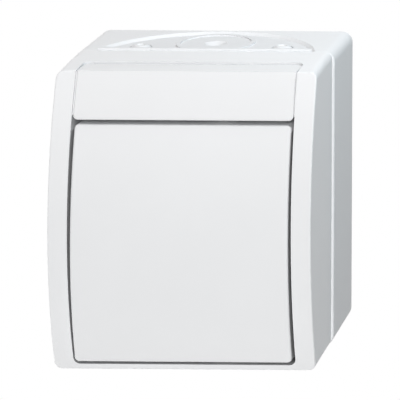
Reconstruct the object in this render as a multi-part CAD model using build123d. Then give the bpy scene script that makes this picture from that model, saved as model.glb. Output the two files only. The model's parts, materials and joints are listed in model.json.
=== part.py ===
from build123d import *
import os
from math import asin, cos, radians, sin, sqrt

# Splash-proof rocker switch in a surface-mounted wall box, in millimetres.
# The pieces are drawn as if the switch lay on its back: X to the right, Y up the wall,
# Z out of the wall. They are stood up when they are written, with Z up and the wall at Y = 0.

# Wall box, the rear half of the housing
box_width = 76.0
box_height = 86.0
box_wall = 2.4
box_corner_radius = 3.2
shoulder_radius = 0.6          # round edge of the box's front rim, beside the cover
seam_depth = 28.0              # joint between box and cover, measured from the wall

# Cover, the front half of the housing
cover_step = 0.75              # from the side of the box in to the side of the cover
cover_wall = 1.9
cover_edge_depth = 50.0        # front edge at the top and bottom ends of the cheeks
cheek_bulge = 8.7              # how far the cheeks bow out beyond their ends
cheek_width = 5.6
cheek_edge_radius = 0.5
cover_corner_radius = 2.2
cover_top_drop = 1.0           # fall of the top face from the seam to the front
cover_top_crown = 0.2
bottom_lip = 1.65
opening_corner_radius = 1.9
well_sink = 6.5                # from the front edge back to the rear end of the opening
shelf_thickness = 2.0          # floor behind the label strip
crossbar_thickness = 1.5       # bar between the label strip and the rocker
crossbar_setback = 0.8

# Label strip
strip_height = 13.0
strip_thickness = 1.6
strip_flange = 9.0             # reach of its flange over the top of the cover
strip_side_gap = 0.35
strip_corner_radius = 1.3
strip_edge_radius = 0.4
strip_rear_radius = 2.0         # corners of the flange, seen from above
strip_rib_spacing = 20.0
strip_leg_spacing = 40.0
strip_leg_width = 6.0
strip_leg_thickness = 1.2
strip_hook = 0.7

# Rocker and its cradle
rocker_side_gap = 0.8
rocker_top_gap = 1.6           # both gaps are for the level rocker
rocker_bottom_gap = 1.0
rocker_proud = 0.5
rocker_wall = 2.0
skirt_lift = 0.5               # of its side walls' rear edge, in front of the opening's
rocker_edge_radius = 0.7
rocker_corner_radius = 1.3
rocker_tilt = 2.0              # degrees from level to either latched end
rocker_rib_spacing = 24.0
hinge_sink = 7.0               # from the front edge back to the rocker's axis
trunnion_radius = 2.0
cradle_half_width = 9.7
cradle_barrel_radius = 4.0
barrel_clearance = 1.8         # between the cradle's barrel and the stem's seal
cradle_plate_width = 40.0
cradle_plate_height = 24.0
cradle_plate_thickness = 2.0
cradle_plate_corner = 2.0
cradle_plate_gap = 0.7         # between the cradle's plate and the bearing lugs
snap_leg_width = 8.0
snap_leg_thickness = 1.6
snap_hook = 0.9
stem_wall = 1.45
shoulder_out = 1.85            # how far the plunger's shoulder stands out of the stem

# Over-centre plunger and its spring
plunger_radius = 2.5
plunger_cup_wall = 0.45
plunger_tip_radius = 1.5
plunger_length = 8.5           # of its straight part
plunger_floor = 1.6
spring_pocket = 12.0           # depth of the plunger's bore in the stem
spring_wire = 0.5
spring_turns = 4
wire_sides = 6                 # the fine wire is drawn with flat sides

# Contact lever, a see-saw on the common contact
lever_swing = 7.0              # degrees from level to either closed end
lever_drop = 11.5              # from the carrying plate back to the lever's pins
lever_overhang = 0.5           # beyond its contact tips
lever_corner_radius = 1.3
lever_width = 5.2
lever_thickness = 1.0
lever_pin_radius = 0.8
tip_reach = 11.0
tip_radius = 1.5
tip_height = 0.8
contact_gap_closed = 0.15
plunger_gap = 0.15

# Contact strips, terminals and base
contact_metal = 0.8
contact_strip_width = 4.0
bracket_gap = 0.6              # between the lever and the common contact's cheeks
base_width = 40.0
base_height = 38.0
base_floor = 3.3               # behind the terminals
base_corner_radius = 4.0
chamber_width = 16.0
chamber_wall = 0.95            # between the chamber and the bridge's screws
terminal_size = 7.0
terminal_inset = 6.0           # from the side of the base to the middle of each terminal
wire_hole_radius = 1.6
terminal_screw_radius = 1.4
terminal_head_radius = 2.0
terminal_head_height = 1.6

# Carrying plate and bearing bridge
plate_thickness = 1.2
plate_side_gap = 2.6
plate_height = 50.0
plate_corner_radius = 4.0
plate_window_width = 20.0
plate_window_margin = 1.4      # between its window and the bridge's screws
bridge_width = 38.0
bridge_flange = 2.0
bridge_corner_radius = 4.0
lug_thickness = 3.0
lug_radius = 4.5
lug_side_gap = 0.3
seal_wall = 1.2
seal_lip = 1.5
seal_lip_thickness = 1.0
stem_seal_gap = 0.8

# Screws and their posts
post_radius = 4.0
device_screw_margin = 4.0      # from the end of the plate
device_screw_radius = 1.5
device_head_radius = 2.8
device_head_height = 1.8
device_slot_length = 6.0
device_screw_grip = 10.0
cover_screw_inset = 3.65       # from the side of the opening
cover_screw_radius = 1.75
cover_head_radius = 3.1
cover_head_height = 2.4
cover_screw_grip = 10.0        # length inside the box's post
bridge_screw_margin = 2.0      # from the end of the base
bridge_screw_radius = 1.0
bridge_head_radius = 1.8
bridge_head_height = 1.2
bridge_screw_grip = 8.0
thread_gap = 0.05
driver_slot = 0.8

# Wall fixing slots
wall_slot_spacing = 62.0
wall_slot_width = 4.5
wall_slot_length = 8.0
wall_slot_collar = 1.6
wall_slot_collar_height = 0.8

# Cable entries and seam seal
entry_margin = 2.0             # from the wall to the apex of the half-round opening
entry_side_margin = 6.6        # from the side of the box to its straight side, at the seam
entry_recess = 0.8             # also the width of the recess's slanted edge
entry_lip = 0.6
entry_lip_width = 1.6
entry_lip_bevel = 0.4
entry_flange = 1.6
entry_flange_thickness = 1.4
membrane_radius = 3.4
membrane_height = 0.75
membrane_taper = 0.7           # top radius over base radius
membrane_groove = 0.5
membrane_setback = 14.0        # of the middle membrane, from the seam
membrane_dimple = 1.3
dimple_taper = 0.35            # floor radius over mouth radius
membrane_ring_radius = 11.5
membrane_ring_width = 1.2
membrane_ring_height = 0.4
side_membrane_radius = 2.8
side_membrane_setback = 8.5
side_membrane_spacing = 41.7
seal_width = 1.2
seal_thickness = 0.8
tongue_width = 8.0
tongue_spacing = 40.0
tongue_thickness = 1.4
tongue_reach = 4.0             # into the box
tongue_root = 6.0              # along the cover's floor

# Fits
seat_gap = 0.1
running_gap = 0.05

# Heights up the wall and depths from the wall that the pieces share
half_height = box_height / 2
top_front = half_height - cover_top_drop
cover_width = box_width - 2 * cover_step
opening_half = cover_width / 2 - cheek_width
opening_bottom = bottom_lip - half_height
strip_bottom = top_front - strip_height
rocker_top = strip_bottom - rocker_top_gap
rocker_bottom = opening_bottom + rocker_bottom_gap
rocker_half = opening_half - rocker_side_gap
hinge_height = (rocker_top + rocker_bottom) / 2
crossbar_bottom = strip_bottom + crossbar_setback
crossbar_top = crossbar_bottom + crossbar_thickness
well_ceiling = top_front - strip_thickness - cover_wall
strip_leg_bottom = crossbar_top + 2 * strip_side_gap
well_depth = cover_edge_depth - well_sink
shelf_front = well_depth + shelf_thickness
flange_rear = cover_edge_depth - strip_flange
front_limit = cover_edge_depth + 2 * cheek_bulge
entry_width = box_width - 2 * entry_side_margin

# The rocker's axis hangs from the front edge, and the switch insert from that axis
hinge_depth = cover_edge_depth - hinge_sink
rocker_skirt_depth = well_depth + skirt_lift
cradle_plate_rear = hinge_depth + lug_radius + cradle_plate_gap
cradle_plate_front = cradle_plate_rear + cradle_plate_thickness
bridge_front = hinge_depth - cradle_barrel_radius - barrel_clearance - seal_lip_thickness
plate_front = bridge_front - bridge_flange
plate_depth = plate_front - plate_thickness
lever_depth = plate_depth - lever_drop
lever_half_length = tip_reach + tip_radius + lever_overhang
plunger_tip_depth = lever_depth + lever_thickness / 2 + plunger_gap
plunger_shoulder = plunger_tip_depth + plunger_tip_radius + plunger_radius
stem_radius = plunger_radius + running_gap + stem_wall
stem_end_depth = plunger_shoulder + shoulder_out
seal_groove_radius = stem_radius + stem_seal_gap + seal_wall

# The fixed tips end just short of the lever's closed tips
closed_swing = radians(lever_swing)
closed_reach = (tip_reach + tip_radius) * sin(closed_swing)
closed_height = (lever_thickness / 2 + tip_height) * cos(closed_swing)
fixed_tip_front = lever_depth - closed_reach - closed_height - contact_gap_closed
contact_front = fixed_tip_front - tip_height
contact_rear = contact_front - contact_metal
terminal_middle = (contact_front + contact_rear) / 2
terminal_offset = base_width / 2 - terminal_inset
base_rear_depth = terminal_middle - terminal_size / 2 - base_floor

# Screws
bridge_screw_spacing = base_height - 2 * bridge_screw_margin
chamber_height = bridge_screw_spacing - 2 * (bridge_screw_radius + thread_gap + chamber_wall)
plate_width = box_width - 2 * (box_wall + plate_side_gap)
plate_window_height = bridge_screw_spacing - 2 * (bridge_screw_radius + seat_gap + plate_window_margin)
device_screw_spacing = plate_width - 2 * device_screw_margin
cover_screw_spacing = 2 * (opening_half - cover_screw_inset)
cover_screw_height = (crossbar_top + well_ceiling) / 2

# The bowed front is an arc about a level axis behind the wall
arc_middle = (top_front - half_height) / 2
half_chord = (top_front + half_height) / 2
front_radius = (half_chord**2 + cheek_bulge**2) / (2 * cheek_bulge)
arc_centre_depth = cover_edge_depth + cheek_bulge - front_radius


def bow_depth(height, proud=0.0):
    return arc_centre_depth + sqrt((front_radius + proud) ** 2 - (height - arc_middle) ** 2)


def block(x_range, y_range, z_range):
    ranges = (x_range, y_range, z_range)
    middle = [(low + high) / 2 for low, high in ranges]
    return Pos(*middle) * Box(*[high - low for low, high in ranges])


def centred(size, middle=0.0):
    return (middle - size / 2, middle + size / 2)


def rod(radius, x, y, z_range):
    low, high = z_range
    return Pos(x, y, (low + high) / 2) * Cylinder(radius, high - low)


def axle(radius, x_range, y, z):
    low, high = x_range
    return Pos((low + high) / 2, y, z) * Rot(0, 90, 0) * Cylinder(radius, high - low)


def frame_ring(width, height, radius, band, z_range):
    outside = RectangleRounded(width, height, radius)
    inside = Rectangle(width - 2 * band, height - 2 * band)
    return Pos(0, 0, z_range[0]) * extrude(outside - inside, amount=z_range[1] - z_range[0])


def across(profile, half_width):
    """A profile drawn as (height, depth), carried sideways to both sides."""
    return extrude(Plane.YZ * profile, amount=half_width, both=True)


def turned(solid, height, depth, angle):
    """Tips a solid about the level axis at this height and depth."""
    return Pos(0, height, depth) * Rot(angle, 0, 0) * Pos(0, -height, -depth) * solid


def rocked(solid):
    return turned(solid, hinge_height, hinge_depth, -rocker_tilt)


def swung(solid):
    return turned(solid, hinge_height, lever_depth, lever_swing)


def pan_screw(radius, head_radius, head_height, length):
    """Slotted screw along Z, its head seated on the plane Z = 0."""
    head = Pos(0, 0, head_height / 2) * Cylinder(head_radius, head_height)
    head = chamfer(head.edges().group_by(Axis.Z)[-1], head_height / 3)
    slot = block(centred(2 * head_radius), centred(driver_slot), (head_height / 2, head_height))
    return head - slot + rod(radius, 0, 0, (-length, 0))


def cover_profile():
    top_middle = ((top_front + half_height) / 2 + cover_top_crown, (cover_edge_depth + seam_depth) / 2)
    wall_side = Polyline(
        (half_height, seam_depth), (half_height, 0), (-half_height, 0), (-half_height, cover_edge_depth)
    )
    bow = ThreePointArc(
        (-half_height, cover_edge_depth),
        (arc_middle, cover_edge_depth + cheek_bulge),
        (top_front, cover_edge_depth),
    )
    top = ThreePointArc((top_front, cover_edge_depth), top_middle, (half_height, seam_depth))
    return make_face(wall_side + bow + top)


def inset_profile(inset):
    return offset(cover_profile(), amount=-inset, kind=Kind.INTERSECTION)


def cover_body():
    body = across(cover_profile(), cover_width / 2)
    body = body & block(centred(2 * cover_width), centred(2 * box_height), (seam_depth, front_limit))
    long_edges = []
    for side in body.faces().filter_by(Axis.X):
        edges = side.edges().sort_by(Axis.Y)
        long_edges += [edges[0], edges[-1]]
    body = fillet(long_edges, cover_corner_radius)
    return fillet(body.faces().sort_by(Axis.Z)[-1].edges(), cheek_edge_radius)


def seam_seal():
    rim_width = box_width - 2 * (box_wall - seal_width)
    rim_height = box_height - 2 * (box_wall - seal_width)
    return frame_ring(rim_width, rim_height, box_corner_radius / 2, seal_width,
                      (seam_depth - seal_thickness, seam_depth))


def entry_segment(growth, y_range, flare=0.0):
    """Half-round slab of a cable entry: an arc behind, a straight side at the seam."""
    reach = seam_depth - entry_margin
    radius = ((entry_width / 2) ** 2 + reach**2) / (2 * reach)
    height = y_range[1] - y_range[0]
    disc = Cylinder(radius + growth, height)
    if flare:
        disc = Cone(radius + growth + flare, radius + growth, height)
    disc = Pos(0, sum(y_range) / 2, entry_margin + radius) * Rot(90, 0, 0) * disc
    return disc & block(centred(2 * box_width), y_range, (0, seam_depth))


def entry_mouth():
    """Opening of the top wall, slanted where the insert lies below the surface."""
    slant_range = (half_height - entry_recess, half_height)
    return entry_segment(0, (half_height - box_wall, half_height)) + entry_segment(0, slant_range, entry_recess)


def wall_box():
    body = extrude(RectangleRounded(box_width, box_height, box_corner_radius), amount=seam_depth)
    rims = body.faces().sort_by(Axis.Z)[-1].edges().filter_by(Axis.Y)
    body = fillet(rims, shoulder_radius)
    inside_width = box_width - 2 * box_wall
    inside_height = box_height - 2 * box_wall
    body -= block(centred(inside_width), centred(inside_height), (box_wall, seam_depth))
    for side in (-1, 1):
        post_x = side * device_screw_spacing / 2
        body += rod(post_radius, post_x, hinge_height, (box_wall, plate_depth))
        body -= rod(device_screw_radius + thread_gap, post_x, hinge_height, (box_wall, plate_depth))
        post_x = side * cover_screw_spacing / 2
        body += rod(post_radius, post_x, cover_screw_height, (box_wall, seam_depth))
        body -= rod(cover_screw_radius + thread_gap, post_x, cover_screw_height, (box_wall, seam_depth))
        slot_y = side * wall_slot_spacing / 2
        slot = SlotOverall(wall_slot_length, wall_slot_width, 90)
        collar = offset(slot, amount=wall_slot_collar)
        body += Pos(0, slot_y, box_wall) * extrude(collar, amount=wall_slot_collar_height)
        body -= Pos(0, slot_y, 0) * extrude(slot, amount=box_wall + wall_slot_collar_height)
    mouth = entry_mouth()
    return body - mouth - Rot(0, 0, 180) * mouth - seam_seal()


def on_entry(shape, x, setback, y_range):
    """Stands a round shape on a cable entry, its top away from the box."""
    return Pos(x, sum(y_range) / 2, seam_depth - setback) * Rot(-90, 0, 0) * shape


def entry_ring(radius, width, x, setback, y_range):
    height = y_range[1] - y_range[0]
    return on_entry(Cylinder(radius, height) - Cylinder(radius - width, height), x, setback, y_range)


def entry_cone(radius, top_radius, x, setback, y_range):
    return on_entry(Cone(radius, top_radius, y_range[1] - y_range[0]), x, setback, y_range)


def side_membrane(x, surface):
    """Raised round membrane for a thin cable, hollow on top, and the fine groove round it."""
    top_radius = membrane_taper * side_membrane_radius
    hollow_radius = membrane_taper * top_radius
    y_range = (surface, surface + membrane_height)
    nipple = entry_cone(side_membrane_radius, top_radius, x, side_membrane_setback, y_range)
    nipple -= entry_cone(hollow_radius / 2, hollow_radius, x, side_membrane_setback, y_range)
    moat = entry_ring(side_membrane_radius + membrane_groove, membrane_groove, x, side_membrane_setback,
                      (surface - membrane_groove, surface))
    return nipple, moat


def middle_membrane(surface):
    """Hollow of the middle membrane, and the ridge round it for a thick cable."""
    hollow = entry_cone(dimple_taper * membrane_radius, membrane_radius, 0, membrane_setback,
                        (surface - membrane_dimple, surface))
    ridge_range = (surface, surface + membrane_ring_height)
    ridge = entry_ring(membrane_ring_radius, membrane_ring_width, 0, membrane_setback, ridge_range)
    return hollow, ridge & entry_segment(-seat_gap, ridge_range)


def cable_entry(lip):
    """Insert of the top wall: a plug in the opening and a wider flange inside the box."""
    inner = half_height - box_wall
    surface = half_height - entry_recess
    plug = entry_segment(-seat_gap, (inner, surface))
    flange = entry_segment(entry_flange, (inner - entry_flange_thickness, inner))
    flange_half = box_width / 2 - box_wall - seat_gap
    flange &= block((-flange_half, flange_half), (0, half_height), (box_wall + seat_gap, seam_depth))
    lip_half = entry_width / 2 - 2 * seat_gap
    lip_range = (inner, half_height + lip)
    bar = block((-lip_half, lip_half), lip_range, (seam_depth - entry_lip_width, seam_depth))
    if lip:
        bar = chamfer(bar.edges().filter_by(Axis.X).group_by(Axis.Y)[-1].sort_by(Axis.Z)[-1], entry_lip_bevel)
    bar &= entry_segment(-seat_gap, lip_range)
    hollow, ridge = middle_membrane(surface)
    body = plug + ridge + flange + bar - hollow
    for side in (-1, 1):
        nipple, moat = side_membrane(side * side_membrane_spacing / 2, surface)
        body = body - moat + nipple
    return body - seam_seal()


def strip_space(depth_inside, half_width, bottom, rear, rear_radius):
    """Everything outside the cover's inset surface, over the label strip's area."""
    area = Pos((bottom + box_height) / 2, (rear + front_limit) / 2)
    area = area * Rectangle(box_height - bottom, front_limit - rear)
    space = across(area - inset_profile(depth_inside), half_width)
    return fillet(space.edges().filter_by(Axis.Y).group_by(Axis.Z)[0], rear_radius)


def cover_frame():
    outer = cover_body()
    cavity = across(inset_profile(cover_wall), cover_width / 2 - cover_wall)
    well_half = opening_half + cover_wall
    well = outer & block((-well_half, well_half), centred(2 * box_height), (well_depth, front_limit))
    ledge_range = (flange_rear - strip_side_gap - cover_wall, well_depth)
    ledge = outer & block((-well_half, well_half), (well_ceiling, box_height), ledge_range)
    body = outer - cavity + well + ledge

    opening_range = (opening_bottom, crossbar_bottom)
    opening = block((-opening_half, opening_half), opening_range, (well_depth, front_limit))
    low_corners = opening.edges().filter_by(Axis.Z).sort_by(Axis.Y)[:2]
    body -= fillet(low_corners, opening_corner_radius)
    body -= block((-opening_half, opening_half), (crossbar_top, well_ceiling), (shelf_front, front_limit))
    body -= strip_space(strip_thickness + seat_gap, opening_half, rocker_top, flange_rear - strip_side_gap,
                        strip_rear_radius + strip_side_gap)

    for side in (-1, 1):
        screw_x = side * cover_screw_spacing / 2
        body += rod(post_radius, screw_x, cover_screw_height, (seam_depth, well_depth))
        body -= rod(cover_screw_radius + seat_gap, screw_x, cover_screw_height, (seam_depth, shelf_front))
        slot_x = centred(strip_leg_width + 2 * strip_side_gap, side * strip_leg_spacing / 2)
        hook_top = strip_leg_bottom + strip_leg_thickness + strip_hook
        slot_y = (strip_leg_bottom - strip_side_gap, hook_top + strip_side_gap)
        body -= block(slot_x, slot_y, (well_depth, shelf_front))
        tongue_x = centred(tongue_width, side * tongue_spacing / 2)
        floor = box_wall + entry_flange_thickness - half_height + seat_gap
        root = seam_depth + tongue_root
        body += block(tongue_x, (floor, floor + tongue_thickness), (seam_depth - tongue_reach, root))
        body += block(tongue_x, (-half_height + cover_wall / 2, floor), (seam_depth, root))
    return body


def label_strip():
    half_width = opening_half - strip_side_gap
    band = strip_space(strip_thickness, half_width, strip_bottom, flange_rear, strip_rear_radius)
    shell = band & across(cover_profile(), half_width)
    shell &= block(centred(box_width), (-half_height, top_front), (0, front_limit))
    low_corners = shell.edges().filter_by(Axis.Z).group_by(Axis.Y)[0]
    shell = fillet(low_corners, strip_corner_radius)
    shell = fillet(shell.faces().sort_by(Axis.Z)[-1].edges(), strip_edge_radius)
    under = across(inset_profile(strip_thickness), half_width)
    legs = Part()
    for side in (-1, 1):
        rib_x = centred(strip_leg_thickness, side * strip_rib_spacing / 2)
        rib_y = (strip_leg_bottom, well_ceiling - strip_side_gap)
        rib = block(rib_x, rib_y, (shelf_front, front_limit))
        leg_x = centred(strip_leg_width, side * strip_leg_spacing / 2)
        leg_y = (strip_leg_bottom, strip_leg_bottom + strip_leg_thickness)
        hook_rear = well_depth - seat_gap - strip_leg_thickness
        leg = block(leg_x, leg_y, (hook_rear, front_limit))
        hook = block(leg_x, (leg_y[0], leg_y[1] + strip_hook), (hook_rear, well_depth - seat_gap))
        legs += (rib + leg) & under
        legs += hook
    return shell + legs


def rocker():
    reach = rocker_proud
    side_wall = Polyline(
        (rocker_top, bow_depth(rocker_top, reach)),
        (rocker_top, rocker_skirt_depth),
        (rocker_bottom, rocker_skirt_depth),
        (rocker_bottom, bow_depth(rocker_bottom, reach)),
    )
    bow = ThreePointArc(
        (rocker_bottom, bow_depth(rocker_bottom, reach)),
        (hinge_height, bow_depth(hinge_height, reach)),
        (rocker_top, bow_depth(rocker_top, reach)),
    )
    profile = make_face(side_wall + bow)
    body = across(profile, rocker_half)
    body = fillet(body.edges().filter_by(Axis.Z), rocker_corner_radius)
    body = fillet(body.faces().sort_by(Axis.Z)[-1].edges(), rocker_edge_radius)

    inside = offset(profile, amount=-rocker_wall, kind=Kind.INTERSECTION)
    hollow = across(inside, rocker_half - rocker_wall)
    mouth = block(
        centred(2 * (rocker_half - rocker_wall)),
        (rocker_bottom + rocker_wall, rocker_top - rocker_wall),
        (rocker_skirt_depth, rocker_skirt_depth + 2 * rocker_wall),
    )
    hollow += mouth
    shell = body - hollow
    room = hollow + block(centred(2 * cradle_plate_width), centred(cradle_plate_height, hinge_height),
                          (bridge_front, rocker_skirt_depth + rocker_wall))
    fittings = Part()
    for side in (-1, 1):
        rib_y = centred(cradle_plate_height - 2 * rocker_wall, hinge_height)
        fittings += block(centred(snap_leg_thickness, side * rocker_rib_spacing / 2), rib_y,
                          (cradle_plate_front, front_limit))
        inner = side * (cradle_plate_width / 2 + seat_gap)
        hook_front = cradle_plate_rear - seat_gap
        hook_rear = hook_front - snap_leg_thickness
        leg_y = centred(snap_leg_width, hinge_height)
        leg_x = sorted((inner, inner + side * snap_leg_thickness))
        fittings += block(leg_x, leg_y, (hook_rear, front_limit))
        fittings += block(sorted((inner - side * snap_hook, inner)), leg_y, (hook_rear, hook_front))
    return rocked(shell + (fittings & room))


def rocker_cradle():
    body = axle(cradle_barrel_radius, centred(2 * cradle_half_width), hinge_height, hinge_depth)
    pin_half = cradle_half_width + lug_side_gap + lug_thickness
    body += axle(trunnion_radius, centred(2 * pin_half), hinge_height, hinge_depth)
    body += block(centred(2 * cradle_half_width), centred(2 * cradle_barrel_radius, hinge_height),
                  (hinge_depth, cradle_plate_rear))
    plate = block(centred(cradle_plate_width), centred(cradle_plate_height, hinge_height),
                  (cradle_plate_rear, cradle_plate_front))
    body += fillet(plate.edges().filter_by(Axis.Z), cradle_plate_corner)
    body += rod(stem_radius, 0, hinge_height, (stem_end_depth, hinge_depth))
    pocket_range = (stem_end_depth, stem_end_depth + spring_pocket)
    bore = rod(plunger_radius + running_gap, 0, hinge_height, pocket_range)
    return rocked(body - bore)


def spring_plunger():
    end = plunger_shoulder + plunger_length
    cup_radius = plunger_radius - plunger_cup_wall
    cup_floor = plunger_shoulder + plunger_floor
    nose = plunger_tip_depth + plunger_tip_radius
    slant = asin((plunger_radius - plunger_tip_radius) / (plunger_shoulder - nose))
    half_arc = radians(90) - slant
    touch = (plunger_tip_radius * cos(slant), nose - plunger_tip_radius * sin(slant))
    middle = (plunger_tip_radius * sin(half_arc / 2), nose - plunger_tip_radius * cos(half_arc / 2))
    ball = ThreePointArc((0, plunger_tip_depth), middle, touch)
    rest = Polyline(
        touch, (plunger_radius, plunger_shoulder), (plunger_radius, end), (cup_radius, end),
        (cup_radius, cup_floor), (0, cup_floor), (0, plunger_tip_depth),
    )
    half_section = Plane.XZ * make_face(ball + rest)
    return rocked(Pos(0, hinge_height, 0) * revolve(half_section, Axis.Z))


def contact_spring():
    low = plunger_shoulder + plunger_floor + spring_wire / 2
    high = stem_end_depth + spring_pocket - spring_wire / 2
    coil_radius = plunger_radius - plunger_cup_wall - spring_wire
    path = Helix((high - low) / spring_turns, high - low, coil_radius)
    start = Plane(path @ 0, z_dir=path % 0)
    wire = sweep(start * RegularPolygon(spring_wire / 2, wire_sides), path=path, is_frenet=True)
    return rocked(Pos(0, hinge_height, low) * wire)


def contact_lever():
    body = block(centred(lever_width), centred(2 * lever_half_length, hinge_height),
                 centred(lever_thickness, lever_depth))
    body = fillet(body.edges().filter_by(Axis.Z), lever_corner_radius)
    pin_root = lever_width / 2 - lever_thickness / 2
    pin_end = lever_width / 2 + bracket_gap + contact_metal
    for side in (-1, 1):
        body += axle(lever_pin_radius, sorted((side * pin_root, side * pin_end)), hinge_height, lever_depth)
    return swung(body)


def moving_contact_tips():
    rear = lever_depth - lever_thickness / 2
    return [
        swung(rod(tip_radius, 0, hinge_height + side * tip_reach, (rear - tip_height, rear)))
        for side in (-1, 1)
    ]


def fixed_contact_tips():
    return [
        rod(tip_radius, 0, hinge_height + side * tip_reach, (contact_front, fixed_tip_front))
        for side in (-1, 1)
    ]


def fixed_contact(side):
    """Flat strip from its terminal to under the lever's tip, with a round end."""
    y = hinge_height + side * tip_reach
    inner_end = terminal_offset - terminal_size / 2
    strip = block((0, inner_end), centred(contact_strip_width, y), (contact_rear, contact_front))
    return strip + rod(contact_strip_width / 2, 0, y, (contact_rear, contact_front))


def common_contact():
    """Strip from its terminal, folded up on both sides of the lever to carry its pins."""
    cheek_inside = lever_width / 2 + bracket_gap
    cheek_outside = cheek_inside + contact_metal
    width = centred(contact_strip_width, hinge_height)
    body = block((terminal_size / 2 - terminal_offset, cheek_outside), width, (contact_rear, contact_front))
    for side in (-1, 1):
        cheek_x = sorted((side * cheek_inside, side * cheek_outside))
        body += block(cheek_x, width, (contact_rear, lever_depth))
        body += axle(contact_strip_width / 2, cheek_x, hinge_height, lever_depth)
    pin_hole = axle(lever_pin_radius + running_gap, centred(2 * cheek_outside), hinge_height, lever_depth)
    return body - pin_hole


def terminal_spots():
    spots = [(1, hinge_height + side * tip_reach) for side in (-1, 1)]
    return spots + [(-1, hinge_height)]


def terminal_blocks():
    blocks = []
    for side, y in terminal_spots():
        x = side * terminal_offset
        depth_range = centred(terminal_size, terminal_middle)
        brass = block(centred(terminal_size, x), centred(terminal_size, y), depth_range)
        brass -= rod(wire_hole_radius, x, y, centred(2 * terminal_size, terminal_middle))
        screw_x = sorted((x, x + side * terminal_size))
        blocks.append(brass - axle(terminal_screw_radius + thread_gap, screw_x, y, terminal_middle))
    return blocks


def terminal_screws():
    length = terminal_size / 2 - wire_hole_radius
    screw = pan_screw(terminal_screw_radius, terminal_head_radius, terminal_head_height, length)
    return [
        Pos(side * (terminal_offset + terminal_size / 2), y, terminal_middle) * Rot(0, side * 90, 0) * screw
        for side, y in terminal_spots()
    ]


def switch_base():
    body = block(centred(base_width), centred(base_height, hinge_height), (base_rear_depth, plate_depth))
    body = fillet(body.edges().filter_by(Axis.Z), base_corner_radius)
    chamber_y = centred(chamber_height, hinge_height)
    body -= block(centred(chamber_width), chamber_y, (contact_rear, plate_depth))
    room = terminal_size + 2 * seat_gap
    for side, y in terminal_spots():
        x = side * terminal_offset
        body -= block(centred(room, x), centred(room, y), (terminal_middle - room / 2, plate_depth))
        body -= rod(wire_hole_radius + seat_gap, x, y, (base_rear_depth, plate_depth))
        screw_x = sorted((x, side * base_width / 2))
        body -= axle(terminal_head_radius + 2 * seat_gap, screw_x, y, terminal_middle)
        doorway_y = centred(contact_strip_width + 2 * seat_gap, y)
        body -= block(sorted((0, x)), doorway_y, (contact_rear, plate_depth))
    for side in (-1, 1):
        y = hinge_height + side * bridge_screw_spacing / 2
        body -= rod(bridge_screw_radius + thread_gap, 0, y, (plate_depth - bridge_screw_grip, plate_depth))
    return body


def device_plate():
    outline = RectangleRounded(plate_width, plate_height, plate_corner_radius)
    outline -= Rectangle(plate_window_width, plate_window_height)
    for side in (-1, 1):
        slot = SlotOverall(device_slot_length, 2 * (device_screw_radius + seat_gap))
        outline -= Pos(side * device_screw_spacing / 2, 0) * slot
        outline -= Pos(0, side * bridge_screw_spacing / 2) * Circle(bridge_screw_radius + seat_gap)
    return Pos(0, hinge_height, plate_depth) * extrude(outline, amount=plate_thickness)


def switch_bridge():
    outline = RectangleRounded(bridge_width, base_height, bridge_corner_radius) - Circle(seal_groove_radius)
    for side in (-1, 1):
        outline -= Pos(0, side * bridge_screw_spacing / 2) * Circle(bridge_screw_radius + seat_gap)
    body = Pos(0, hinge_height, plate_front) * extrude(outline, amount=bridge_flange)
    inside = cradle_half_width + lug_side_gap
    for side in (-1, 1):
        lug_x = sorted((side * inside, side * (inside + lug_thickness)))
        body += block(lug_x, centred(2 * lug_radius, hinge_height), (bridge_front, hinge_depth))
        body += axle(lug_radius, lug_x, hinge_height, hinge_depth)
        body -= axle(trunnion_radius + running_gap, lug_x, hinge_height, hinge_depth)
    return body


def stem_seal():
    lip_front = bridge_front + seal_lip_thickness
    neck = rod(seal_groove_radius, 0, hinge_height, (plate_front, bridge_front))
    lip = rod(seal_groove_radius + seal_lip, 0, hinge_height, (bridge_front, lip_front))
    hole = rod(stem_radius + stem_seal_gap, 0, hinge_height, (plate_front, lip_front))
    return neck + lip - hole


def screw_pair(screw, spots, seat):
    return [Pos(x, y, seat) * screw for x, y in spots]


def cover_screws():
    screw = pan_screw(cover_screw_radius, cover_head_radius, cover_head_height,
                      shelf_front - seam_depth + cover_screw_grip)
    spots = [(side * cover_screw_spacing / 2, cover_screw_height) for side in (-1, 1)]
    return screw_pair(screw, spots, shelf_front)


def device_screws():
    screw = pan_screw(device_screw_radius, device_head_radius, device_head_height,
                      plate_thickness + device_screw_grip)
    spots = [(side * device_screw_spacing / 2, hinge_height) for side in (-1, 1)]
    return screw_pair(screw, spots, plate_front)


def bridge_screws():
    screw = pan_screw(bridge_screw_radius, bridge_head_radius, bridge_head_height,
                      bridge_front - plate_depth + bridge_screw_grip)
    spots = [(0, hinge_height + side * bridge_screw_spacing / 2) for side in (-1, 1)]
    return screw_pair(screw, spots, bridge_front)


pieces = {
    "wall_box": wall_box(),
    "top_cable_entry": cable_entry(entry_lip),
    "bottom_cable_entry": Rot(0, 0, 180) * cable_entry(0),
    "cover_seal": seam_seal(),
    "cover_frame": cover_frame(),
    "cover_screws": cover_screws(),
    "label_strip": label_strip(),
    "device_plate": device_plate(),
    "device_screws": device_screws(),
    "switch_base": switch_base(),
    "switch_bridge": switch_bridge(),
    "bridge_screws": bridge_screws(),
    "stem_seal": stem_seal(),
    "upper_fixed_contact": fixed_contact(1),
    "lower_fixed_contact": fixed_contact(-1),
    "fixed_contact_tips": fixed_contact_tips(),
    "common_contact": common_contact(),
    "terminal_blocks": terminal_blocks(),
    "terminal_screws": terminal_screws(),
    "rocker": rocker(),
    "rocker_cradle": rocker_cradle(),
    "contact_spring": contact_spring(),
    "spring_plunger": spring_plunger(),
    "contact_lever": contact_lever(),
    "moving_contact_tips": moving_contact_tips(),
}

stand_up = Rot(90, 0, 0)

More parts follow.
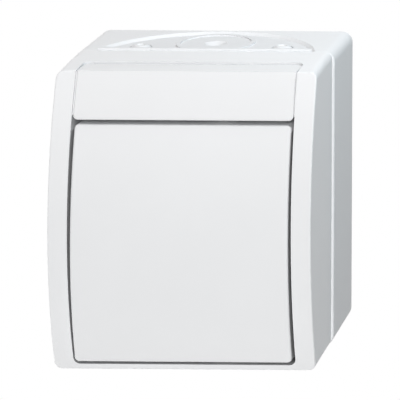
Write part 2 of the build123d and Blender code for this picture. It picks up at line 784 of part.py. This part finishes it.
os.makedirs("parts", exist_ok=True)
for name, piece in pieces.items():
    solids = piece if isinstance(piece, list) else [piece]
    solids = [stand_up * solid for solid in solids]
    export_step(solids[0] if len(solids) == 1 else Compound(children=solids), f"parts/{name}.step")
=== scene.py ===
import json
import math
import bpy
from mathutils import Matrix, Vector


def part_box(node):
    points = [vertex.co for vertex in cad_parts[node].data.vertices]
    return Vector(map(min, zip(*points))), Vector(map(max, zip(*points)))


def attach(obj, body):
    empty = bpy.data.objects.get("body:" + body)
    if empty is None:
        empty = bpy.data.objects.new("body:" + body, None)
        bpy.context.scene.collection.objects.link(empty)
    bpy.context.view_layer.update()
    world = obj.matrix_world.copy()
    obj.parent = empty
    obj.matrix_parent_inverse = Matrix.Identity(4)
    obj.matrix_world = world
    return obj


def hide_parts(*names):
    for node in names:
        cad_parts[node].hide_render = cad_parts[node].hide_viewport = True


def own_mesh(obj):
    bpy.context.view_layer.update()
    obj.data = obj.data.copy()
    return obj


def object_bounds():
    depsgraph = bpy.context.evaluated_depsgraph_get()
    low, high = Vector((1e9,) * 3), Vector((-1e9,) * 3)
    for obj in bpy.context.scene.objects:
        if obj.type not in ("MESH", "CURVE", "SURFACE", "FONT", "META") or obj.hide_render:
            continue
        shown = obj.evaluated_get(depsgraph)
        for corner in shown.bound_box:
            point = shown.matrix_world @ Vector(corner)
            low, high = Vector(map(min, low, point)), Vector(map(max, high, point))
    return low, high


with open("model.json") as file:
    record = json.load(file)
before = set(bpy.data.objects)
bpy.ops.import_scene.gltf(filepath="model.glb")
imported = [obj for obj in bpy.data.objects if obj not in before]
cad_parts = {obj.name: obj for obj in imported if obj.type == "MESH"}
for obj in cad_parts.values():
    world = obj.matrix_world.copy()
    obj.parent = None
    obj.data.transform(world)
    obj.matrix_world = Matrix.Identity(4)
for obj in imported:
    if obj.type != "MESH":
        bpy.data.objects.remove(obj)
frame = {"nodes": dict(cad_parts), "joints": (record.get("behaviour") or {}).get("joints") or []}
cadLow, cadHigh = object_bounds()      # box of the solids, before anything is added
nodes = frame["nodes"]
joints = {joint["name"]: joint for joint in frame["joints"]}
scene = bpy.context.scene
print("frame loaded:", len(nodes), "nodes")


# Node helpers, for materials and Geometry Nodes alike

def addNode(tree, kind, inputs=None, **settings):
    node = tree.nodes.new(kind)
    for label, value in settings.items():
        setattr(node, label, value)
    for label, value in (inputs or {}).items():
        if isinstance(value, bpy.types.NodeSocket):
            tree.links.new(value, node.inputs[label])
        else:
            node.inputs[label].default_value = value
    return node


def calculate(tree, operation, *values):
    return addNode(tree, "ShaderNodeMath", dict(enumerate(values)), operation=operation).outputs["Value"]


# Material helpers. Patterns read Object coordinates, so they stay put on each piece.
noiseSpan = {"From Min": 0.3, "From Max": 0.7}         # holds nearly all values of a noise
shaderInputs = {"ior": "IOR", "metallic": "Metallic", "coat": "Coat Weight", "coatRoughness": "Coat Roughness"}


def newFinish(name):
    finish = bpy.data.materials.new(name)
    finish.use_nodes = True
    return finish, finish.node_tree, finish.node_tree.nodes["Principled BSDF"]


def objectPoints(tree, scale=(1, 1, 1)):
    place = addNode(tree, "ShaderNodeTexCoord").outputs["Object"]
    return addNode(tree, "ShaderNodeMapping", {"Vector": place, "Scale": scale}).outputs["Vector"]


def addNoise(tree, scale, detail, stretch=(1, 1, 1)):
    points = objectPoints(tree, stretch)
    return addNode(tree, "ShaderNodeTexNoise", {"Vector": points, "Scale": scale, "Detail": detail}).outputs["Fac"]


def spread(tree, noise, low, high):
    span = {"Value": noise, **noiseSpan, "To Min": low, "To Max": high}
    return addNode(tree, "ShaderNodeMapRange", span).outputs["Result"]


def mixColours(tree, share, first, second, blend="MIX"):
    mix = addNode(tree, "ShaderNodeMix", {"Factor": share, "A": first, "B": second},
                  data_type="RGBA", blend_type=blend)
    return mix.outputs["Result"]


# Painted shade: multiplies the colour darker where ambient occlusion finds nearby surfaces, below a given height
def paintGapShade(tree, colour, gap):
    hollow = addNode(tree, "ShaderNodeAmbientOcclusion", {"Distance": gap["reach"]}).outputs["AO"]
    paintedShade = addNode(tree, "ShaderNodeMapRange", {
        "Value": hollow, "From Min": gap["closed"], "From Max": gap["open"], "To Min": gap["dark"]})
    height = addNode(tree, "ShaderNodeSeparateXYZ", {"Vector": objectPoints(tree)}).outputs["Z"]
    below = calculate(tree, "LESS_THAN", height, gap["top"])
    return mixColours(tree, below, colour, paintedShade.outputs["Result"], "MULTIPLY")


def makeFinish(name, look):
    finish, tree, shader = newFinish(name)
    patches = addNoise(tree, look["patchScale"], look["patchDetail"])
    grain = addNoise(tree, look["grainScale"], look["grainDetail"], look["stretch"])
    shade = [channel * (1 - look["patch"]) for channel in look["colour"]]
    colour = mixColours(tree, spread(tree, patches, 0, 1), (*shade, 1), (*look["colour"], 1))
    # painted shade in the gaps, where the look asks for it
    if "gap" in look:
        colour = paintGapShade(tree, colour, look["gap"])
    gloss = spread(tree, grain, look["roughness"] - look["glossSpread"], look["roughness"] + look["glossSpread"])
    bump = addNode(tree, "ShaderNodeBump",
                   {"Height": grain, "Strength": look["grain"], "Distance": look["grainDepth"]})
    tree.links.new(colour, shader.inputs["Base Color"])
    tree.links.new(gloss, shader.inputs["Roughness"])
    tree.links.new(bump.outputs["Normal"], shader.inputs["Normal"])
    for label, socket in shaderInputs.items():
        if label in look:
            shader.inputs[socket].default_value = look[label]
    return finish


def dress(finish, *names):
    for name in names:
        nodes[name].data.materials.clear()
        nodes[name].data.materials.append(finish)


# White housing plastics; cover and rocker have painted shade in the gaps between them, up to just below the upper
# gap
rockerGapShade = {"reach": 0.003, "closed": 0.2, "open": 0.75, "dark": 0.66, "top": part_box("rocker")[1].z - 0.002}
coverLook = {"colour": (0.86, 0.868, 0.878), "patch": 0.012, "patchScale": 60, "patchDetail": 2,
             "roughness": 0.36, "glossSpread": 0.03, "grain": 0.10, "grainDepth": 0.00002, "grainScale": 2600,
             "grainDetail": 3, "stretch": (1, 1, 1), "ior": 1.5, "coat": 0.12, "coatRoughness": 0.25}
rockerLook = dict(coverLook, colour=(0.85, 0.858, 0.868), roughness=0.33, grain=0.06)
stripLook = dict(coverLook, colour=(0.84, 0.846, 0.855), roughness=0.34, grain=0.06)
boxLook = dict(coverLook, colour=(0.845, 0.855, 0.866), roughness=0.42, grain=0.16, coat=0.05)
stripPlastic = makeFinish("stripPlastic", stripLook)
dress(makeFinish("coverPlastic", dict(coverLook, gap=rockerGapShade)), "cover_frame")
dress(makeFinish("rockerPlastic", dict(rockerLook, gap=rockerGapShade)), "rocker")
dress(stripPlastic, "label_strip")
dress(makeFinish("boxPlastic", boxLook), "wall_box")
print("housing plastics done")

# Plastics of the switch insert
baseLook = dict(coverLook, colour=(0.60, 0.60, 0.585), patch=0.05, roughness=0.55, grain=0.25, coat=0.0)
bridgeLook = dict(baseLook, colour=(0.76, 0.76, 0.75))
plungerLook = dict(baseLook, colour=(0.83, 0.80, 0.70), roughness=0.4, grain=0.08)
dress(makeFinish("basePlastic", baseLook), "switch_base")
dress(makeFinish("bridgePlastic", bridgeLook), "switch_bridge", "rocker_cradle")
dress(makeFinish("plungerPlastic", plungerLook), "spring_plunger")

# Elastomer of the cable entries, rubber of the seals
entryLook = {"colour": (0.83, 0.84, 0.852), "patch": 0.03, "patchScale": 180, "patchDetail": 3,
             "roughness": 0.55, "glossSpread": 0.06, "grain": 0.2, "grainDepth": 0.00002, "grainScale": 3000,
             "grainDetail": 2, "stretch": (1, 1, 1), "ior": 1.45}
sealLook = dict(entryLook, colour=(0.16, 0.16, 0.17), patch=0.2, roughness=0.7)
dress(makeFinish("entryRubber", entryLook), "top_cable_entry", "bottom_cable_entry")
dress(makeFinish("sealRubber", sealLook), "cover_seal", "stem_seal")

# Metals inside; the sheets are brushed along their height
steelLook = {"colour": (0.60, 0.60, 0.61), "patch": 0.12, "patchScale": 500, "patchDetail": 3,
             "roughness": 0.34, "glossSpread": 0.08, "grain": 0.2, "grainDepth": 0.00002, "grainScale": 3000,
             "grainDetail": 4, "stretch": (1, 1, 0.05), "metallic": 1.0}
screwLook = dict(steelLook, colour=(0.64, 0.64, 0.65), stretch=(1, 1, 1), roughness=0.28)
brassLook = dict(steelLook, colour=(0.74, 0.54, 0.25), patch=0.2, roughness=0.3)
silverLook = dict(steelLook, colour=(0.82, 0.82, 0.81), roughness=0.4, stretch=(1, 1, 1))
springLook = dict(screwLook, colour=(0.46, 0.46, 0.47), roughness=0.32)
screwSteel = makeFinish("screwSteel", screwLook)
springSteel = makeFinish("springSteel", springLook)
dress(makeFinish("plateSteel", steelLook), "device_plate")
dress(screwSteel, "cover_screws", "device_screws", "bridge_screws", "terminal_screws")
dress(makeFinish("contactBrass", brassLook), "upper_fixed_contact", "lower_fixed_contact", "common_contact",
      "terminal_blocks", "contact_lever")
dress(makeFinish("contactSilver", silverLook), "fixed_contact_tips", "moving_contact_tips")
dress(springSteel, "contact_spring")
print("inner finishes done")


# Geometry Nodes helpers: a tree with named inputs, grown once into a plain mesh

def newTree(name, inputs):
    tree = bpy.data.node_groups.new(name, "GeometryNodeTree")
    tree.interface.new_socket("Geometry", in_out="INPUT", socket_type="NodeSocketGeometry")
    for label, kind in inputs.items():
        tree.interface.new_socket(label, in_out="INPUT", socket_type=kind)
    tree.interface.new_socket("Geometry", in_out="OUTPUT", socket_type="NodeSocketGeometry")
    return tree, tree.nodes.new("NodeGroupInput").outputs


def sweepRound(tree, curve, sides, radius):
    ring = addNode(tree, "GeometryNodeCurvePrimitiveCircle", {"Resolution": sides, "Radius": radius})
    swept = addNode(tree, "GeometryNodeCurveToMesh",
                    {"Curve": curve, "Profile Curve": ring.outputs["Curve"], "Fill Caps": True})
    return swept.outputs["Mesh"]


def endTree(tree, given, geometry):
    real = addNode(tree, "GeometryNodeRealizeInstances", {"Geometry": geometry})
    painted = addNode(tree, "GeometryNodeSetMaterial",
                      {"Geometry": real.outputs["Geometry"], "Material": given["Finish"]})
    addNode(tree, "NodeGroupOutput", {"Geometry": painted.outputs["Geometry"]})


def growPiece(name, tree, values, seed):
    grower = bpy.data.objects.new(name + "Grower", seed)
    scene.collection.objects.link(grower)
    modifier = grower.modifiers.new("grow", "NODES")
    modifier.node_group = tree
    sockets = {item.name: item.identifier for item in tree.interface.items_tree
               if item.item_type == "SOCKET" and item.in_out == "INPUT"}
    for label, value in values.items():
        modifier[sockets[label]] = value
    graph = bpy.context.evaluated_depsgraph_get()
    mesh = bpy.data.meshes.new_from_object(grower.evaluated_get(graph), depsgraph=graph)
    bpy.data.objects.remove(grower)
    mesh.name = name
    piece = bpy.data.objects.new(name, mesh)
    scene.collection.objects.link(piece)
    return piece


# Coil of the contact spring: round wire, closed end turns, lying in the rocker's stem
coil = {"turns": 7.0, "wire": 0.00048, "coilRadius": 0.00152, "endShare": 0.17, "endRise": 0.045, "steps": 40,
        "sides": 12}


def makeCoilTree():
    tree, given = newTree("coilTree", {
        "Turns": "NodeSocketFloat", "Coil Radius": "NodeSocketFloat", "Wire Radius": "NodeSocketFloat",
        "Length": "NodeSocketFloat", "Points": "NodeSocketInt", "Finish": "NodeSocketMaterial"})
    line = addNode(tree, "GeometryNodeCurvePrimitiveLine", {"End": (0, 0, 1)})
    path = addNode(tree, "GeometryNodeResampleCurve", {"Curve": line.outputs["Curve"], "Count": given["Points"]})
    share = addNode(tree, "GeometryNodeSplineParameter").outputs["Factor"]
    angle = calculate(tree, "MULTIPLY", share, calculate(tree, "MULTIPLY", given["Turns"], 2 * math.pi))
    across, along = (calculate(tree, "MULTIPLY", calculate(tree, wave, angle), given["Coil Radius"])
                     for wave in ("COSINE", "SINE"))
    rise = addNode(tree, "ShaderNodeFloatCurve", {"Value": share})
    curve = rise.mapping.curves[0]
    curve.points.new(coil["endShare"], coil["endRise"])
    curve.points.new(1 - coil["endShare"], 1 - coil["endRise"])
    for point in curve.points:
        point.handle_type = "VECTOR"
    rise.mapping.update()
    height = calculate(tree, "MULTIPLY", rise.outputs["Value"], given["Length"])
    place = addNode(tree, "ShaderNodeCombineXYZ", {"X": across, "Y": along, "Z": height})
    helix = addNode(tree, "GeometryNodeSetPosition",
                    {"Geometry": path.outputs["Curve"], "Position": place.outputs["Vector"]})
    endTree(tree, given, sweepRound(tree, helix.outputs["Geometry"], coil["sides"], given["Wire Radius"]))
    return tree


def makeCoil():
    low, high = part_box("contact_spring")
    slide = joints["plunger_slide"]
    along = Vector(slide["axis"])
    middle = (low + high) / 2
    length = (high.y - low.y) / abs(along.y) - coil["wire"] - 2 * coil["coilRadius"] * abs(along.z)
    spring = growPiece("contactCoil", makeCoilTree(), {
        "Turns": coil["turns"], "Coil Radius": coil["coilRadius"], "Wire Radius": coil["wire"] / 2,
        "Length": length, "Points": int(coil["turns"] * coil["steps"]), "Finish": springSteel},
        bpy.data.meshes.new("coilSeed"))
    lay = Vector((0, 0, 1)).rotation_difference(along).to_matrix().to_4x4()
    spring.data.transform(Matrix.Translation(middle - along * length / 2) @ lay)
    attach(spring, "rocker")
    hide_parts("contact_spring")
    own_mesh(spring)


makeCoil()
print("contact spring coiled")


# Threads on the plain shanks of the screws, from the tip towards the head
thread = {"depth": 0.0003, "steps": 28, "sides": 4, "along": (0, -1, 0)}
threads = {
    "cover_screws": {"shank": 0.00175, "pitch": 0.0013, "length": 0.0095},
    "device_screws": {"shank": 0.0015, "pitch": 0.0012, "length": 0.0095},
    "bridge_screws": {"shank": 0.0010, "pitch": 0.0009, "length": 0.0075},
}


def makeThreadTree():
    tree, given = newTree("threadTree", {
        "Shank Radius": "NodeSocketFloat", "Depth": "NodeSocketFloat", "Pitch": "NodeSocketFloat",
        "Length": "NodeSocketFloat", "Finish": "NodeSocketMaterial"})
    path = addNode(tree, "GeometryNodeCurveSpiral", {
        "Resolution": thread["steps"], "Rotations": calculate(tree, "DIVIDE", given["Length"], given["Pitch"]),
        "Start Radius": given["Shank Radius"], "End Radius": given["Shank Radius"], "Height": given["Length"]})
    upright = addNode(tree, "GeometryNodeSetCurveNormal", {"Curve": path.outputs["Curve"]}, mode="Z_UP")
    ridge = sweepRound(tree, upright.outputs["Curve"], thread["sides"], given["Depth"])
    turn = addNode(tree, "FunctionNodeAlignRotationToVector", {"Vector": thread["along"]}, axis="Z")
    spots = addNode(tree, "GeometryNodeMeshToPoints", {"Mesh": given["Geometry"]})
    placed = addNode(tree, "GeometryNodeInstanceOnPoints", {
        "Points": spots.outputs["Points"], "Instance": ridge, "Rotation": turn.outputs["Rotation"]})
    endTree(tree, given, placed.outputs["Instances"])
    return tree


def shankEnds(node):
    low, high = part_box(node)
    middle = (low + high) / 2
    if high.x - low.x > high.z - low.z:                 # the two screws stand side by side
        head = (high.z - low.z) / 2
        return [(x, high.y, middle.z) for x in (low.x + head, high.x - head)]
    head = (high.x - low.x) / 2
    return [(middle.x, high.y, z) for z in (low.z + head, high.z - head)]


def makeThreads():
    tree = makeThreadTree()
    for node, size in threads.items():
        seed = bpy.data.meshes.new(node + "Spots")
        seed.from_pydata(shankEnds(node), [], [])
        ridges = growPiece(node + "Thread", tree, {
            "Shank Radius": size["shank"], "Depth": thread["depth"], "Pitch": size["pitch"],
            "Length": size["length"], "Finish": screwSteel}, seed)
        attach(ridges, "housing")


makeThreads()
print("screw threads cut")


# Soft bead along the label strip's sides, which closes the gap just below the edge
bead = {"radius": 0.0002, "gap": 0.00035, "sunk": 0.00055, "sides": 10, "near": 1e-6, "digits": 7}


def makeBeadTree():
    tree, given = newTree("beadTree", {"Radius": "NodeSocketFloat", "Finish": "NodeSocketMaterial"})
    path = addNode(tree, "GeometryNodeMeshToCurve", {"Mesh": given["Geometry"]})
    endTree(tree, given, sweepRound(tree, path.outputs["Curve"], bead["sides"], given["Radius"]))
    return tree


def turning(a, b, c):
    return (b[0] - a[0]) * (c[1] - a[1]) - (b[1] - a[1]) * (c[0] - a[0])


def outerEdge(node, x):
    corners = [node.matrix_world @ vertex.co for vertex in node.data.vertices]
    spots = {(round(corner.y, bead["digits"]), round(corner.z, bead["digits"])) for corner in corners
             if abs(corner.x - x) < bead["near"]}
    chain = []                     # hull of the side, from the flange's rear over the top to the front's foot
    for spot in sorted(spots, reverse=True):
        while len(chain) > 1 and turning(chain[-2], chain[-1], spot) <= 0:
            chain.pop()
        chain.append(spot)
    return [Vector(spot) for spot in chain]


def makeBead():
    low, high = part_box("label_strip")
    points, edges = [], []
    for x, side in ((low.x, -1), (high.x, 1)):
        chain = outerEdge(nodes["label_strip"], x)
        for step, spot in enumerate(chain):
            run = (chain[min(step + 1, len(chain) - 1)] - chain[max(step - 1, 0)]).normalized()
            inward = Vector((-run.y, run.x))
            y, z = spot + inward * bead["sunk"]
            if step:
                edges.append((len(points) - 1, len(points)))
            points.append((x + side * bead["gap"] / 2, y, z))
    seed = bpy.data.meshes.new("beadSeed")
    seed.from_pydata(points, edges, [])
    line = growPiece("labelBead", makeBeadTree(), {"Radius": bead["radius"], "Finish": stripPlastic}, seed)
    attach(line, "housing")


makeBead()
print("label bead laid")


# Camera, at the photograph's angle: to the right and above. The photograph keeps the front parallel to the
# picture, as a lens moved sideways and down does, so the camera hangs slanted in its holder.
# Angles in degrees; focal length, axis and width of the picture in pixels.
shot = {"eye": (0.2087, -0.9218, 0.2394), "turn": 0.448, "tilt": 0.174, "roll": 0.283, "focal": 3069,
        "axis": (899, -609), "width": 400, "sensor": 36, "clip": (0.01, 20)}


def outward(azimuth, elevation):
    azimuth, elevation = math.radians(azimuth), math.radians(elevation)
    return Vector((math.sin(azimuth) * math.cos(elevation), -math.cos(azimuth) * math.cos(elevation),
                   math.sin(elevation)))


def addCamera():
    turn, roll = math.radians(shot["turn"]), math.radians(shot["roll"])
    back = outward(shot["turn"], shot["tilt"])                # square to the picture
    level = Vector((math.cos(turn), math.sin(turn), 0))
    rolled = Matrix.Rotation(roll, 3, back)
    right, up = rolled @ level, rolled @ back.cross(level)
    across, down = ((place - shot["width"] / 2) / shot["focal"] for place in shot["axis"])
    sight = back + right * across - up * down
    slant = Matrix((right, up, sight.normalized())).transposed().to_4x4()
    lens = bpy.data.cameras.new("photoCamera")
    lens.sensor_width = shot["sensor"]
    lens.lens = shot["focal"] * sight.length * shot["sensor"] / shot["width"]
    lens.clip_start, lens.clip_end = shot["clip"]
    camera = bpy.data.objects.new("photoCamera", lens)
    holder = bpy.data.objects.new("cameraHolder", None)
    scene.collection.objects.link(holder)
    scene.collection.objects.link(camera)
    camera.parent = holder
    camera.matrix_parent_inverse = Matrix.Translation(Vector(shot["eye"])) @ slant
    scene.camera = camera


# Studio: white surroundings, a pale floor well below, soft lamps
studio = {"fill": 0.01, "floorDrop": 0.30, "floorSize": 0.8, "floorColour": (0.7, 0.7, 0.7),
          "floorRoughness": 0.9, "floorGlow": 0.85, "aim": (0, -0.029, 0)}
softLamp = {"away": 1.2, "size": 0.6, "colour": (1, 1, 1)}
lamps = {
    "keyLamp": dict(softLamp, azimuth=10, elevation=20, energy=9.4),
    "lowLamp": dict(softLamp, azimuth=10, elevation=-25, energy=4.0),
    "topLamp": dict(softLamp, azimuth=100, elevation=87, energy=7.1, colour=(1, 0.955, 0.94)),
    "rightLamp": dict(softLamp, azimuth=92, elevation=50, energy=0.14, away=0.23, size=0.14,
                      colour=(0.74, 0.91, 1)),
    "leftLamp": dict(softLamp, azimuth=-95, elevation=-10, energy=5.0, size=0.4),
    "backLamp": dict(softLamp, azimuth=208, elevation=-12, energy=9.0, size=0.4),
}


def seenRays(tree):
    rays = addNode(tree, "ShaderNodeLightPath").outputs
    direct = calculate(tree, "MAXIMUM", rays["Is Camera Ray"], rays["Is Glossy Ray"])
    return calculate(tree, "MAXIMUM", direct, rays["Is Transmission Ray"])


def addRoom():
    world = bpy.data.worlds.new("whiteRoom")
    world.use_nodes = True
    tree = world.node_tree
    background = tree.nodes["Background"]
    background.inputs["Color"].default_value = (1, 1, 1, 1)
    strength = addNode(tree, "ShaderNodeMapRange",
                       {"Value": seenRays(tree), "To Min": studio["fill"], "To Max": 1.0})
    tree.links.new(strength.outputs["Result"], background.inputs["Strength"])
    scene.world = world


def addFloor():
    size = studio["floorSize"] / 2
    ground = cadLow.z - studio["floorDrop"]
    sheet = bpy.data.meshes.new("studioFloor")
    sheet.from_pydata([(-size, -size, ground), (size, -size, ground), (size, size, ground), (-size, size, ground)],
                      [], [(0, 1, 2, 3)])
    floor = bpy.data.objects.new("studioFloor", sheet)
    scene.collection.objects.link(floor)
    paint, tree, shader = newFinish("floorPaint")
    shader.inputs["Base Color"].default_value = (*studio["floorColour"], 1)
    shader.inputs["Roughness"].default_value = studio["floorRoughness"]
    level = calculate(tree, "MULTIPLY", seenRays(tree), studio["floorGlow"])
    glow = addNode(tree, "ShaderNodeEmission", {"Strength": level})      # white to the eye, and keeps the shadow
    both = addNode(tree, "ShaderNodeAddShader", {0: shader.outputs["BSDF"], 1: glow.outputs["Emission"]})
    tree.links.new(both.outputs["Shader"], tree.nodes["Material Output"].inputs["Surface"])
    sheet.materials.append(paint)


def addLamps():
    aim = Vector(studio["aim"])
    for name, lamp in lamps.items():
        light = bpy.data.lights.new(name, "AREA")
        light.shape = "DISK"
        light.size = lamp["size"]
        light.energy = lamp["energy"]
        light.color = lamp["colour"]
        holder = bpy.data.objects.new(name, light)
        scene.collection.objects.link(holder)
        holder.location = aim + outward(lamp["azimuth"], lamp["elevation"]) * lamp["away"]
        holder.rotation_euler = (aim - holder.location).to_track_quat("-Z", "Y").to_euler()
        holder.visible_camera = False
        holder.visible_glossy = False                 # only the white room is mirrored


addCamera()
addRoom()
addFloor()
addLamps()
scene.view_settings.view_transform = "Standard"
print("camera and studio done")
